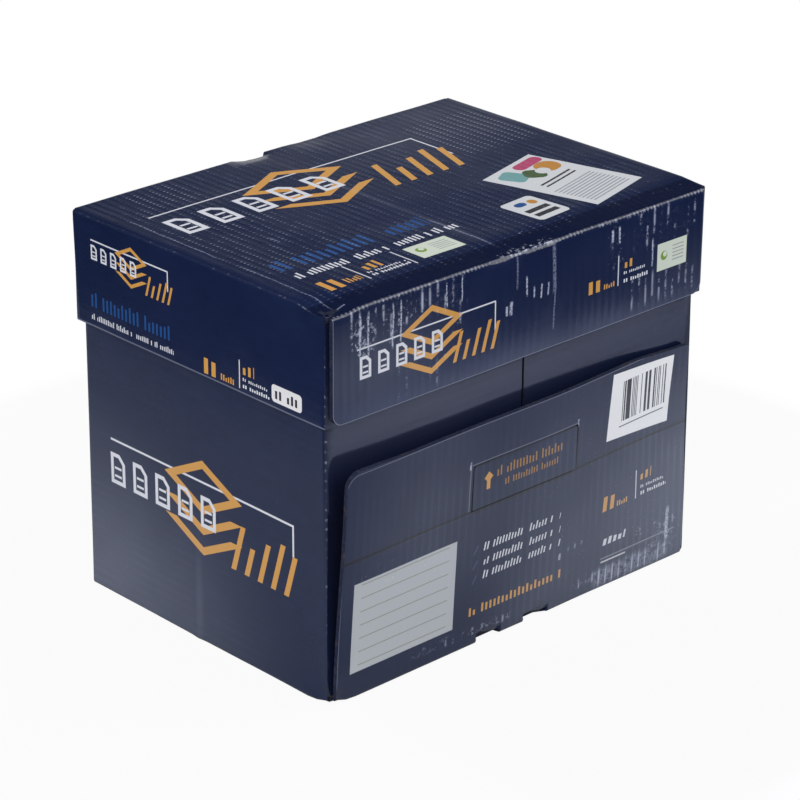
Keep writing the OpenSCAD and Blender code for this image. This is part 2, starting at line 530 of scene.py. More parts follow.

# Print of both outer panels, with their labels, the painted shade of their crease and of the cut
# round the handle flap, and the painted highlight along their rim
PANEL_PRINT = (
    # Painted shade along the crease
    ("patch", GAP_PAINTED_SHADOW, (0, 93.7), (300, 2)),
    ("patch", GREY_PAPER, (-97.1, 47.8), (83.4, 60), 0.2),
    ("rules", RULE_GREY, (-97, 48.6), (71.5, 56), 8.95, 0.075),
    ("patch", LABEL, (103, 123), (58.2, 44.4), 0.2, -3.9),
    ("bars", DARK, (86, 112.4), (41, 27), 0.7),
    ("rules", DARK, (105, 108.8), (42, 1.4), 1.7, 0.55),
    # Painted highlights along the left and top cut edges of the handle flap's window
    ("patch", EDGE_PAINTED_HIGHLIGHT, (-47, 109.6), (0.9, 30), 0.4),
    ("patch", EDGE_PAINTED_HIGHLIGHT, (-1, 125), (91, 0.6), 0.2),
    # Painted shade in the cut round the handle flap
    ("frame", GAP_PAINTED_SHADOW, (0, 108.1), (89.4, 31), 2, 1.7),
    ("patch", "gold", (-31.2, 108.4), (3, 7)),
    ("patch", "gold", (-31.2, 112.8), (5.2, 5.2), 0, 45),
    ("strokes", "old_gold", (-24, 111), (56, 6.4), 2.7, 0.46, 1, 0.14),
    ("strokes", "old_gold", (-17, 103.3), (46, 4.6), 2.2, 0.46, 5, 0.14),
    ("strokes", "white", (-32.5, 63.8), (65.5, 5.4), 2.6, 0.46, 2, 0.16, 0.2),
    ("strokes", "white", (-32, 54), (65.5, 5.4), 2.6, 0.46, 4, 0.16, 0.2),
    ("strokes", "white", (-32, 44.6), (66, 5.4), 2.6, 0.46, 6, 0.16, 0.2),
    ("patch", TICK, (-39, 66), (1.2, 6.4), 0.4, -32),
    ("patch", TICK, (-39, 56), (1.2, 6.4), 0.4, -32),
    ("patch", TICK, (-39, 46), (1.2, 6.4), 0.4, -32),
    ("strokes", "gold", (-42, 21.6), (84.5, 6), 3.5, 0.5, 3, 0.06),
    ("strokes", "gold", (72, 54.6), (12.8, 11.2), 6.6, 0.55, 8, 0, 0.1),
    ("strokes", "gold", (85.3, 54.8), (10, 3.6), 2.1, 0.55, 2),
    ("patch", "white", (102.9, 63.8), (0.8, 19.3)),
    ("strokes", "gold", (106.9, 65.6), (9.8, 6.4), 4.5, 0.5, 4, 0, 0.1),
    ("strokes", "white", (107.4, 60), (22.5, 2), 1.7, 0.5, 6, 0.1),
    ("strokes", "white", (107.6, 55.2), (23.6, 2.6), 2.1, 0.6, 7, 0.1),
    ("strokes", "white", (74, 30.6), (20, 5.4), 4.6, 0.6, 9, 0, 0.2),
    ("rules", FAINT, (107, 21.4), (68, 1), 1.3, 0.7),
    ("rules", PAPER, (84.5, 19), (22, 1), 1.3, 0.9),
    # Painted highlight along the outer panel's cut edge
    ("frame", EDGE_PAINTED_HIGHLIGHT, (0, 69.6), (297.4, 160), 10, 0.5),
)

# Print of each face, with painted shade and highlights among it: the stamp, its ink and its
# values, in millimetres, from under to over
ART = {
    "lid_top": (
        # Painted shade: a darker band along the drooping front edge of the top
        ("patch", DROOP_PAINTED_SHADOW, (0, -107), (320, 19)),
        ("patch", "white", (-25.7, 69.8), (215, 1.3)),
        ("patch", "white", (80.8, 50.6), (1.3, 39)),
        ("stack", "gold", (-27, 61), (34, 17), 5.6, 15),
        ("strokes", "gold", (14, 12), (66, 38), 13.5, 0.36, 3, 0, 0.35),
        ("sheets", "white", (-132, 33), (16, 26), 27, 5, 3.4),
        ("strokes", "blue", (-132, -49.5), (117, 15.5), 5.8, 0.46, 5, 0.16),
        ("strokes", "white", (-132, -64.5), (126, 8.4), 3.1, 0.48, 1, 0.16),
        ("strokes", "gold", (-131, -90), (14.5, 16), 7.4, 0.55, 8),
        ("strokes", "gold", (-115.5, -88), (11, 7), 2.6, 0.5, 2),
        ("patch", "white", (-101.6, -78.4), (0.9, 25.3)),
        ("patch", "white", (-65.5, -79.5), (0.9, 23.7)),
        ("strokes", "gold", (-94, -80), (12.5, 10), 5.2, 0.5, 4),
        ("strokes", "white", (-97, -84.2), (30, 2.4), 2, 0.5, 6, 0.1),
        ("strokes", "white", (-97, -88.6), (32, 3), 2.3, 0.6, 7, 0.1),
        ("patch", PALE_GREEN, (-40.8, -79), (33.6, 19), 0.5),
        ("patch", LEAF, (-50, -77.5), (7, 7), 3.5),
        ("patch", PALE_GREEN, (-49, -76.5), (4, 4), 2),
        ("rules", FAINT, (-34, -79), (14, 12), 2.4, 0.3),
        ("patch", CARD, (97.8, -48), (57.2, 80.3), 0.3, 15.3),
        ("patch", TEAL, (78, -26), (16, 18), 4, 30),
        ("patch", ROSE, (102, -13.5), (28, 9), 4.5, 15.3),
        ("patch", OCHRE, (108, -25), (19, 16), 8, 15.3),
        ("patch", MOSS, (92, -30), (14, 15), 5, 60),
        ("patch", CARD, (100, -29), (11, 9), 4.5, 15.3),
        ("rules", DARK, (97, -44), (36, 8), 4.2, 0.42, 15.3),
        ("rules", FAINT, (103, -69), (45, 30), 2.7, 0.4, 15.3),
        ("patch", CARD, (48.9, -72.6), (27.5, 34.5), 3.5, 4.5),
        ("rules", DARK, (49.3, -77), (20, 15), 7.6, 0.62, 4.5),
        ("patch", "blue", (45.5, -63.5), (9, 6), 3, 4.5),
        ("patch", OCHRE, (55, -64), (6, 7), 3, 4.5),
        ("scratch", SCRATCH_AND_PAINTED_HIGHLIGHT, (-144.6, -66), (1.1, 84), 6),
        ("scratch", SCRATCH_AND_PAINTED_HIGHLIGHT, (-145.4, 30), (1.1, 90), 7),
        ("scratch", SCRATCH_AND_PAINTED_HIGHLIGHT, (-101.5, -8), (1.2, 10), 8),
        ("scratch", SCRATCH_AND_PAINTED_HIGHLIGHT, (-12, -70), (1.2, 60), 9),
        # Painted highlight on the ridge of the crushed front corner
        ("patch", SCRATCH_AND_PAINTED_HIGHLIGHT, (-143, -107.6), (14, 0.9), 0.4, 10),
    ),
    "lid_end": (
        ("patch", "white", (-60, 235.2), (72, 0.9)),
        ("patch", "white", (-24.3, 229), (0.9, 12.6)),
        ("stack", "gold", (-58, 233.5), (12.5, 6.2), 2.1, 5.6),
        ("strokes", "gold", (-45, 214.5), (24, 13.5), 5, 0.36, 3, 0, 0.3),
        ("sheets", "white", (-96, 222.9), (5.8, 9.4), 9.3, 5, 1.3),
        ("strokes", "blue", (-97, 192), (76, 9.6), 3.6, 0.46, 5, 0.14),
        ("strokes", "white", (-97, 184), (77, 3.8), 1.7, 0.5, 1, 0.14),
        ("strokes", "gold", (7.5, 181.5), (13, 11), 6.7, 0.55, 8),
        ("strokes", "gold", (22.5, 182), (12.5, 4), 2.1, 0.55, 2),
        ("patch", "white", (39.2, 190.8), (0.8, 17.6)),
        ("strokes", "gold", (42.4, 191.5), (9.8, 7), 4.6, 0.5, 4),
        ("strokes", "white", (42.2, 187.4), (22, 2), 1.7, 0.5, 6, 0.1),
        ("strokes", "white", (42.2, 183), (24, 2.4), 2, 0.6, 7, 0.1),
        ("patch", PAPER, (80.3, 188.6), (25.7, 10.8), 2.4),
        ("strokes", DARK, (70.4, 185.4), (20, 6), 3.4, 0.55, 9, 0.1),
        # Painted highlight along the lower edge of the lid's end skirt
        ("patch", EDGE_PAINTED_HIGHLIGHT, (0, 179.8), (240, 0.9)),
    ),
    "lid_front_left": (
        *LONG_TITLE,
        ("scratch", RUBBED, (-132.6, 231), (1.8, 30), 1),
        ("scratch", RUBBED, (-126.6, 230), (1.6, 30), 2),
        ("scratch", RUBBED, (-107.4, 230), (1.5, 30), 3),
        ("scratch", RUBBED, (-101.2, 231), (1.4, 28), 4),
        ("scratch", RUBBED, (-65.4, 237), (1.2, 17), 5),
        ("scratch", RUBBED, (-53.2, 238), (1.2, 18), 6),
        ("scratch", SCRATCH_AND_PAINTED_HIGHLIGHT, (-8, 236), (1.6, 24), 7),
        ("scratch", RUBBED, (-0.2, 225), (1.6, 14), 8),
        ("scratch", RUBBED, (6, 220), (1.4, 8), 9),
        ("scratch", RUBBED, (12, 219), (1.6, 10), 10),
        ("scratch", RUBBED, (17.8, 219), (1.4, 9), 11),
        ("scratch", SCRATCH_AND_PAINTED_HIGHLIGHT, (22.6, 230), (3.2, 34), 12),
        ("scratch", SCRATCH_AND_PAINTED_HIGHLIGHT, (23.2, 206), (1.4, 32), 13),
        ("scratch", RUBBED, (-16.6, 213.6), (2.2, 7), 14),
        ("scratch", RUBBED, (-13, 214.6), (2.8, 10), 15),
        # Painted highlight along the cut edge of the lid's front flap
        ("frame", EDGE_PAINTED_HIGHLIGHT, (0, 225), (305.8, 88.6), 7, 0.55),
    ),
    "lid_front_right": (
        *LONG_FACTS,
        ("scratch", RUBBED, (72.2, 237.5), (2.4, 9), 16),
        ("scratch", RUBBED, (78.2, 237), (2, 12), 17),
        ("scratch", RUBBED, (108.2, 218), (1.4, 20), 18),
        # Painted highlight along the cut edge of the lid's front flap
        ("frame", EDGE_PAINTED_HIGHLIGHT, (0, 225), (305.8, 88.6), 7, 0.55),
    ),
    "lid_back": (*LONG_TITLE, *LONG_FACTS),
    "base_end": (
        ("patch", "white", (-2.6, 107.4), (168.4, 1.4)),
        ("patch", "white", (81, 93.6), (1.4, 28.8)),
        ("stack", "gold", (0, 104), (30, 15), 4.8, 13.5),
        ("strokes", "gold", (25, 60), (58, 32), 11.8, 0.36, 3, 0, 0.3),
        ("sheets", "white", (-87.3, 78), (13.6, 20.6), 21.3, 5, 2.6),
    ),
    "panel": (
        *PANEL_PRINT,
        ("scratch", RUBBED, (35, 36.4), (2.4, 5), 1),
        ("scratch", RUBBED, (133.6, 27), (3.4, 26), 2),
        ("scratch", RUBBED, (-47.4, 125), (1.6, 6), 3),
        ("scratch", RUBBED, (44.6, 124.8), (1.6, 6), 4),
        # Painted shade inside the crushed notches left by the strap
        ("patch", GAP_PAINTED_SHADOW, (-24, 2.2), (21, 3.4), 1.5, -8),
        ("patch", GAP_PAINTED_SHADOW, (17, 1.4), (22, 2.4), 1, -5),
    ),
    "panel_back": PANEL_PRINT,
    "band": (
        # Painted shade: darker ink over the whole band, so the gap behind the leaning panels reads
        # dark
        ("patch", BAND_PAINTED_SHADOW, (0, 125), (320, 270)),
        # Painted shade along the seam where the corner flaps meet
        ("patch", GAP_PAINTED_SHADOW, (4, 125), (2.6, 260)),
    ),
}

# Each face: the way its flutes run, how strongly they show through the liner, and how rough
# its varnish is
SURFACES = {
    "lid_top": ("Y", 0.5, 0.1),
    "lid_front_left": ("Z", 0.3, 0.05),
    "lid_front_right": ("Z", 0.3, 0.05),
    "lid_back": ("Z", 0.3, 0.1),
    "lid_end": ("level", 0.12, 0.04),
    "base_end": ("level", 0.16, 0.16),
    "panel": ("Z", 0.34, 0.16),
    "panel_back": ("Z", 0.34, 0.16),
    "band": ("level", 0.2, 0.06),
}
SCUFF_EDGE = 0.002
SCUFFED = srgb(188, 194, 216)
BEADED = srgb(168, 172, 188)
FLECKED = srgb(180, 184, 200)

# Scuffed places of each face: left and right across its flutes and low and high along them
# in millimetres, how many of the flutes are rubbed through, how white, and how much of the
# ground between them goes too
SCUFFS = {
    "lid_front_left": (
        (-139, -122, 218, 238, 0.6, 0.75, 0.8), (-114, -97, 218, 242, 0.5, 0.7, 0.5),
        (-141, -50, 228, 248, 0.62, 0.6, 0.06), (-97, -80, 231, 243, 0.55, 0.6, 0.6),
        (-70, -52, 214, 226, 0.45, 0.6, 0.6), (-112, -58, 184, 204, 0.5, 0.3, 0.0),
        (-14, 22, 246.6, 251, 0.8, 0.9, 1.0),
    ),
    "lid_front_right": (
        (88, 146, 186, 205, 0.66, 0.5, 0.0), (92, 146, 222, 246, 0.55, 0.62, 0.05),
        (69, 82, 214, 243, 0.5, 0.7, 0.3), (60, 112, 245.5, 250, 0.55, 0.6, 0.7),
    ),
    "lid_top": (
        (-122, -84, 80, 106, 0.85, 0.3, 0.0), (-146, -70, -50, 30, 0.75, 0.16, 0.0),
        (86, 148, 22, 86, 1.0, 0.3, 0.0), (-150, -80, 20, 84, 0.7, 0.14, 0.0),
        (-20, 22, -119, -109, 0.55, 0.8, 0.9), (4, 22, -99, -91, 0.4, 0.4, 0.6),
        (-150, 60, -100, 112, 1.2, 0.04, 0.0), (-150, 150, -104, 112, 0.6, 0.1, 0.0),
    ),
    "panel": (
        (68, 136, 3, 14.5, 0.9, 0.85, 0.3), (48, 88, 8, 14, 0.6, 0.7, 0.4),
        (104, 145, 8, 34, 0.5, 0.6, 0.7), (-88, -42, 8.5, 14, 0.62, 0.5, 0.3),
        (-42, -6, 8, 13, 0.6, 0.55, 0.8), (42, 64, 38, 41, 0.7, 0.45, 0.0),
        (-140, -92, 79, 83, 0.4, 0.3, 0.6),
    ),
}

# Paler places of each face, soft all round, partly rubbed and faded ink and partly a painted
# reflection of the floor: middle and half size on the face in millimetres, and how much paler it
# is there
FADED_INK_AND_PAINTED_SHEEN = {
    "base_end": (((-110, 0), (220, 150), 0.13), ((-4.5, 28), (5, 60), 0.03)),
    "panel": (
        ((50, 70), (170, 130), 0.08), ((176, 40), (130, 150), 0.16),
        ((-85, 100), (90, 110), 0.055), ((60, 10), (120, 90), 0.055)),
    "lid_front_left": (((-120, 214), (85, 44), 0.045), ((10, 172), (260, 26), 0.045)),
    "lid_front_right": (((10, 172), (260, 26), 0.045), ((130, 200), (50, 40), 0.01)),
    "band": (((-60, 175), (280, 36), 0.035),),
    "lid_top": (
        ((110, 95), (150, 90), 0.035), ((10, 40), (160, 110), 0.008),
        ((-11.6, 20), (5, 140), 0.025), ((-12.3, -69), (6, 40), 0.03)),
}
# Pale tint of the faded ink and of the painted reflection
PALE_TINT_OF_WEAR_AND_SHEEN = (0.8, 0.85, 1.0)


class BoardFinish(Finish):
    """Printed corrugated board: its ground, the print on it and the wear over both, with painted
    shade, highlights and a painted sheen of reflected floor.
    """

    def __init__(self, name, face):
        super().__init__(name)
        self.face = face
        self.runs, self.ribs, self.varnish = SURFACES[face]
        self.pitch = bpy.context.scene.carton_sizes.flute_pitch
        spot = self.add("TexCoord")
        self.place = spot.outputs["Object"]
        self.page = self.add("UVMap", uv_map="Print").outputs[0]
        self.x, self.y, self.z = self.split(self.place)[:3]
        self.across, self.along = {
            "Z": (self.x, self.z), "Y": (self.x, self.y), "level": (self.z, self.y)}[self.runs]
        self.crest = self.wave(self.across, self.pitch)
        flute = self.maths("FLOOR", self.scaled(self.across, 1 / self.pitch, 0.5))
        self.streak = self.noise(self.join(
            self.product(flute, 7.31), self.product(self.along, 60.0)), 1.0, 3.0)
        self.ragged = self.noise(self.place, 260.0, 3.0, 0.7)
        self.speck = self.noise(self.place, 420.0, 3.0, 0.75)
        self.cloud = self.noise(self.place, 9.0, 3.0, 0.6)
        self.uneven = self.ramp(self.noise(self.place, 30.0, 2.0), 0.3, 0.7)
        self.line = self.product(self.maths("POWER", self.crest, 3.0), self.uneven, self.ribs)
        bend = self.vector("ABSOLUTE", spot.outputs["Normal"])
        self.fold = self.ramp(self.either(*self.split(bend)[:3]), 0.97, 0.8)
        if face.startswith("panel"):
            self.fold = self.product(self.fold, 0.15)

    def wave(self, value, pitch):
        """0 to 1 and back once in each pitch, 1 where the value is zero."""
        turns = self.maths("COSINE", self.product(value, 2 * math.pi / pitch))
        return self.scaled(turns, 0.5, 0.5)

    def print_ground(self, navy):
        """Ground colour, cloudy over the face and a little different on every flute."""
        shade = self.total(self.product(self.cloud, 0.5), self.scaled(
            self.streak, 0.3, self.product(self.line, 0.25)))
        return self.blend(
            self.ramp(shade, 0.2, 0.65), toned(navy, 0.86), toned(navy, 1.16, 0.0008))

    def print_art(self, ground, colours):
        """The face's fields of ink over its ground, with painted shade and highlights among them.
        """
        inks = {
            "white": colours.white_ink, "gold": colours.gold_ink, "blue": colours.blue_ink,
            "old_gold": toned(colours.gold_ink, 0.55)}
        for kind, ink, *values in ART[self.face]:
            group = self.add("Group", node_tree=stamp(kind))
            self.feed(group.inputs["Place"], self.page)
            for key, value in zip(STAMPS[kind][1:], values):
                self.feed(group.inputs[key], (*value, 0) if key in VECTORS else value)
            ground = self.blend(group.outputs["Ink"], ground, inks.get(ink, ink))
        return ground

    def fade(self, ground):
        """Soft paler places, stronger on the crests: partly faded ink, partly a painted reflection
        of the floor.
        """
        for middle, reach, amount in FADED_INK_AND_PAINTED_SHEEN.get(self.face, ()):
            away = self.vector("LENGTH", self.vector(
                "DIVIDE", self.vector("SUBTRACT", self.page, (*middle, 0)), (*reach, 1)))
            faded_and_sheen = self.product(self.ramp(away, 1.0, 0.0), self.scaled(
                self.total(self.cloud, self.line), 0.8, 0.55), amount)
            ground = self.blend(faded_and_sheen, ground, PALE_TINT_OF_WEAR_AND_SHEEN)
        return ground

    def scuff(self, ground):
        """Crests rubbed white where other cartons slid along the face."""
        narrow = self.maths("POWER", self.crest, 6.0)
        if self.face == "lid_top":
            rows = self.maths("COSINE", self.product(self.along, 2 * math.pi / 0.0031))
            narrow = self.product(narrow, self.ramp(rows, -0.3, 0.7))
        torn = self.scaled(self.ragged, 0.55, self.product(self.speck, 0.45))
        for left, right, low, high, share, white, spread in SCUFFS.get(self.face, ()):
            soft = min(0.003, (high - low) * 0.0003)
            patch = self.product(
                self.window(self.across, left * MM, right * MM, SCUFF_EDGE),
                self.window(self.along, low * MM, high * MM, soft))
            if self.runs == "Z":
                patch = self.product(patch, self.below(self.y, 0.0))
            level = 0.68 - share * 0.3
            hit = self.ramp(
                self.scaled(self.streak, 0.5, self.product(torn, 0.5)), level, level + 0.07)
            wide = self.product(self.ramp(torn, level + 0.02, level + 0.1), spread)
            rubbed = self.either(self.product(hit, narrow), wide)
            ground = self.blend(self.product(patch, white, rubbed), ground, SCUFFED)
        return ground

    def wear_folds(self, ground):
        """Ink lost along the folds, most of all at the crests of the front top fold."""
        patchy = self.ramp(self.noise(self.place, 45.0, 2.0, 0.6), 0.42, 0.6)
        front_fold = self.product(
            self.ramp(self.y, -0.1132, -0.114), self.window(self.z, 0.2463, 0.2479, 0.0004))
        bead = self.scaled(self.wave(self.x, self.pitch / 2), 0.4, self.speck)
        beads = self.product(front_fold, patchy, self.ramp(bead, 0.7, 0.84), 0.5)
        dot = self.scaled(self.crest, 0.3, self.product(self.speck, 0.8))
        dots = self.either(beads, self.product(self.fold, self.ramp(dot, 0.66, 0.78), 0.5))
        ground = self.blend(self.product(dots, 0.8), ground, BEADED)
        fleck = self.ramp(self.noise(self.place, 700.0, 2.0, 0.8), 0.75, 0.81)
        return self.blend(self.product(fleck, 0.12), ground, FLECKED)

    def lay_surface(self):
        """The varnish, and the fine relief of flutes, wrinkles and paper."""
        self.set(IOR=1.5, Roughness=self.scaled(self.fold, 0.2, self.scaled(
            self.ragged, 0.1, self.scaled(self.cloud, 0.08, self.varnish))))
        paper = self.noise(self.place, 1400.0, 2.0, 0.6)
        wrinkle = self.noise(self.join(
            self.product(self.across, 160.0), self.product(self.along, 25.0)), 1.0, 2.0)
        flutes = self.product(self.crest, self.uneven, self.ribs)
        height = self.total(flutes, self.scaled(paper, 0.1, self.product(wrinkle, 0.5)))
        self.raise_by(height, 1.0, 0.0001)


def board_finish(name, face):
    """The printed board of one face, worn as the photo shows, with painted shade, highlights and
    sheen.
    """
    colours = bpy.context.scene.carton_colours
    finish = BoardFinish(name, face)
    ground = finish.print_ground(colours.navy)
    ground = finish.print_art(ground, colours)
    ground = finish.scuff(finish.fade(ground))
    finish.set(Base_Color=finish.wear_folds(ground))
    finish.lay_surface()
    return finish.material


def kraft_finish(name):
    """Unprinted kraft liner inside the carton, with its fibres and faint flutes."""
    kraft = bpy.context.scene.carton_colours.kraft
    finish = Finish(name)
    place = finish.add("TexCoord").outputs["Object"]
    fibre = finish.noise(finish.vector("MULTIPLY", place, (220.0, 900.0, 900.0)), 1.0, 3.0, 0.7)
    cloud = finish.noise(place, 14.0, 2.0)
    tone = finish.total(finish.product(fibre, 0.7), finish.product(cloud, 0.3))
    finish.set(IOR=1.45, Roughness=0.85, Base_Color=finish.blend(
        finish.ramp(tone, 0.3, 0.7), toned(kraft, 0.72), toned(kraft, 1.15)))
    finish.raise_by(fibre, 0.6, 0.0001)
    return finish.material


def cut_edge_painted_shade_finish(name):
    """Cut edge of the board: crushed fluting with a thread of kraft here and there, coloured dark
    navy as painted shade.
    """
    colours = bpy.context.scene.carton_colours
    finish = Finish(name)
    place = finish.add("TexCoord").outputs["Object"]
    crushed = finish.noise(place, 500.0, 3.0, 0.7)
    bare = finish.ramp(finish.noise(place, 90.0, 3.0, 0.7), 0.56, 0.68)
    ground = finish.blend(
        finish.ramp(crushed, 0.35, 0.75), toned(colours.navy, 0.5),
        toned(colours.navy, 1.1, 0.012))
    ground = finish.blend(finish.product(bare, 0.2), ground, toned(colours.kraft, 0.35))
    finish.set(Base_Color=ground, IOR=1.4, Roughness=0.8)
    finish.raise_by(crushed, 0.8, 0.0003)
    return finish.material


def wrapper_finish(name):
    """Coated paper wrapper with soft creases and a fine grain."""
    wrapper = bpy.context.scene.carton_colours.wrapper
    finish = Finish(name)
    place = finish.add("TexCoord").outputs["Object"]
    crease = finish.noise(finish.vector("MULTIPLY", place, (24.0, 40.0, 90.0)), 1.0, 4.0, 0.65)
    grain = finish.noise(place, 1200.0, 2.0, 0.6)
    finish.set(IOR=1.48, Roughness=finish.scaled(grain, 0.15, 0.32), Base_Color=finish.blend(
        finish.ramp(crease, 0.3, 0.7), toned(wrapper, 0.9), wrapper))
    finish.raise_by(finish.total(crease, finish.product(grain, 0.04)), 0.7, 0.0006)
    return finish.material


def material_of(name):
    """One of the carton's materials, made at its first use."""
    made = bpy.data.materials.get("carton_" + name)
    if made:
        return made
    if name in SURFACES:
        return board_finish("carton_" + name, name)
    plain = {"kraft": kraft_finish, "cut_edge": cut_edge_painted_shade_finish, "wrapper": wrapper_finish}
    return plain[name]("carton_" + name)


def stand_clear():
    """Leaves edit mode with nothing selected."""
    if bpy.context.object and bpy.context.object.mode != "OBJECT":
        bpy.ops.object.mode_set(mode="OBJECT")
    bpy.ops.object.select_all(action="DESELECT")


def near(value, target):
    """Whether a coordinate is the target, but for rounding."""
    return abs(value - target) < 2e-5


def cut_blank(name, length, width, height, face_down=False):
    """A flat sheet of board, left in edit mode to be scored and folded."""
    stand_clear()
    bpy.ops.mesh.primitive_plane_add(size=1, location=(0, 0, height))
    sheet = bpy.context.object
    sheet.name = sheet.data.name = name
    sheet.scale = (length, width, 1)
    bpy.ops.object.transform_apply(location=True, rotation=True, scale=True)
    bpy.ops.object.mode_set(mode="EDIT")
    if face_down:
        bpy.ops.mesh.flip_normals()
    return sheet


def pick(kind, where, open_only=False):
    """Selects vertices or edges whose ends all pass a test, or faces whose middle does."""
    bpy.ops.mesh.select_mode(type=kind)
    bpy.ops.mesh.select_all(action="DESELECT")
    mesh = bpy.context.edit_object.data
    made = bmesh.from_edit_mesh(mesh)
    for part in {"VERT": made.verts, "EDGE": made.edges, "FACE": made.faces}[kind]:
        if kind == "FACE":
            passed = where(part.calc_center_median())
        elif kind == "EDGE":
            passed = all(where(end.co) for end in part.verts)
        else:
            passed = where(part.co)
        if passed and not (open_only and not part.is_boundary):
            part.select_set(True)
    made.select_flush_mode()
    bmesh.update_edit_mesh(mesh)


def score(point, across, where=None):
    """Scores a straight line across the sheet, or across the faces that pass a test."""
    if where:
        pick("FACE", where)
    else:
        bpy.ops.mesh.select_all(action="SELECT")
    bpy.ops.mesh.bisect(plane_co=point, plane_no=across)


def trim(where):
    """Cuts away the faces that pass a test."""
    pick("FACE", where)
    bpy.ops.mesh.delete(type="FACE")


def fold_out(where, reach):
    """Folds a new face out from the open edges that pass a test."""
    pick("EDGE", where, open_only=True)
    bpy.ops.mesh.extrude_region_move(TRANSFORM_OT_translate={"value": reach})


def round_folds(where, radius):
    """Rounds the folds whose two ends pass a test."""
    pick("EDGE", where)
    bpy.ops.mesh.bevel(offset=radius, segments=4, profile=0.5, affect="EDGES")


def round_corners(where, radius):
    """Rounds the corners that pass a test, within the sheet."""
    pick("VERT", where)
    bpy.ops.mesh.bevel(offset=radius, segments=6, profile=0.5, affect="VERTICES")


def divide(low, high, cell):
    """Divides the whole sheet into cells, so that it can bend and dent."""
    for axis in range(3):
        span = high[axis] - low[axis]
        count = round(span / cell)
        for step in range(1, count):
            point = Vector(low)
            point[axis] += span * step / count
            across = Vector((0, 0, 0))
            across[axis] = 1
            score(point, across)


def press(where, shift, reach=0.0, falloff="SMOOTH"):
    """Moves what passes a test, and the sheet round it as far as reach."""
    pick("VERT", where)
    settings = {}
    if reach:
        settings = {
            "use_proportional_edit": True, "use_proportional_connected": True,
            "proportional_edit_falloff": falloff, "proportional_size": reach}
    bpy.ops.transform.translate(value=shift, **settings)


def wave_sheet(sheet, strength, size):
    """Slight unevenness of a big sheet of board."""
    cloud = bpy.data.textures.new(sheet.name + "_waves", "CLOUDS")
    cloud.noise_scale = size
    cloud.noise_depth = 1
    wave = sheet.modifiers.new("waves", "DISPLACE")
    wave.texture = cloud
    wave.strength = strength
    wave.mid_level = 0.5
    wave.texture_coords = "LOCAL"
    bpy.ops.object.modifier_apply(modifier=wave.name)


def lay_out_print(sheet):
    """Writes where each face's print sits, in millimetres as seen from outside."""
    layer = sheet.data.uv_layers.new(name="Print")
    vertices, loops = sheet.data.vertices, sheet.data.loops
    for face in sheet.data.polygons:
        normal = face.normal
        lead = max(range(3), key=lambda axis: abs(normal[axis]))
        for loop in face.loop_indices:
            x, y, z = (part / MM for part in vertices[loops[loop].vertex_index].co)
            if lead == 2:
                u, v = x, y
            elif lead == 1:
                u, v = (x if normal.y < 0 else -x), z
            else:
                u, v = (-y if normal.x < 0 else y), z
            layer.data[loop].uv = (u, v)


def give_board(sheet, outsides, chosen):
    """Paints the sheet's faces, gives it the board's thickness and shades it."""
    sizes = bpy.context.scene.carton_sizes
    count = len(outsides)
    for name in [*outsides, *["kraft"] * count, *["cut_edge"] * count]:
        sheet.data.materials.append(material_of(name))
    for face in sheet.data.polygons:
        face.material_index = outsides.index(chosen(face.center, face.normal))
    board = sheet.modifiers.new("board", "SOLIDIFY")
    board.thickness = sizes.board
    board.offset = -1
    board.material_offset = count
    board.material_offset_rim = 2 * count
    bpy.ops.object.modifier_apply(modifier=board.name)
    bpy.ops.object.shade_smooth_by_angle(angle=SMOOTH_BELOW)


def fold_lid(sizes):
    """The lid's blank: top face, end skirts with their ears, and the glued outer flaps."""
    top = LID_HIGH.z
    end = LID_HIGH.x
    side = LID_HIGH.y
    sheet = cut_blank("lid_blank", 2 * end, 2 * side, top)
    for sign in (-1, 1):
        score((sign * LID_FLAP_X, 0, 0), (1, 0, 0))
        score((0, sign * EAR_Y, 0), (0, 1, 0))
    trim(lambda p: abs(p.x) > LID_FLAP_X and abs(p.y) > EAR_Y)
    for sign in (-1, 1):
        fold_out(lambda p: near(p.x, sign * end), (0, 0, LID_LOW.z - top))
        fold_out(lambda p: near(p.y, sign * side), (0, 0, -LID_FLAP_DROP))
    score((0, 0, top - SLIT), (0, 0, 1), lambda p: near(abs(p.x), end))
    on_end = lambda p: near(abs(p.x), end) and near(abs(p.y), EAR_Y) and p.z < top - NEAR_SLIT
    for x in (-1, 1):
        for y in (-1, 1):
            fold_out(
                lambda p: on_end(p) and p.x * x > 0 and p.y * y > 0, (-x * EAR_LENGTH, 0, 0))
    bpy.ops.mesh.select_all(action="SELECT")
    bpy.ops.mesh.normals_make_consistent(inside=False)
    flap_corner = lambda p: near(abs(p.x), LID_FLAP_X) and near(abs(p.y), side)
    round_corners(lambda p: flap_corner(p) and p.z < top - LID_FLAP_DROP / 2, LID_FLAP_RADIUS)
    radius = sizes.fold_radius
    round_folds(lambda p: near(p.z, top) and near(abs(p.y), side), radius)
    round_folds(lambda p: near(p.z, top) and near(abs(p.x), end), 0.7 * radius)
    round_folds(on_end, EAR_RADIUS)
    # Sharp ends of the dents in the back edge
    for x in (-0.0275, -0.0045, -0.003):
        score((x, 0, 0), (1, 0, 0), lambda p: p.y > 0.09)
    divide(LID_LOW, LID_HIGH, sizes.cell)
    return sheet


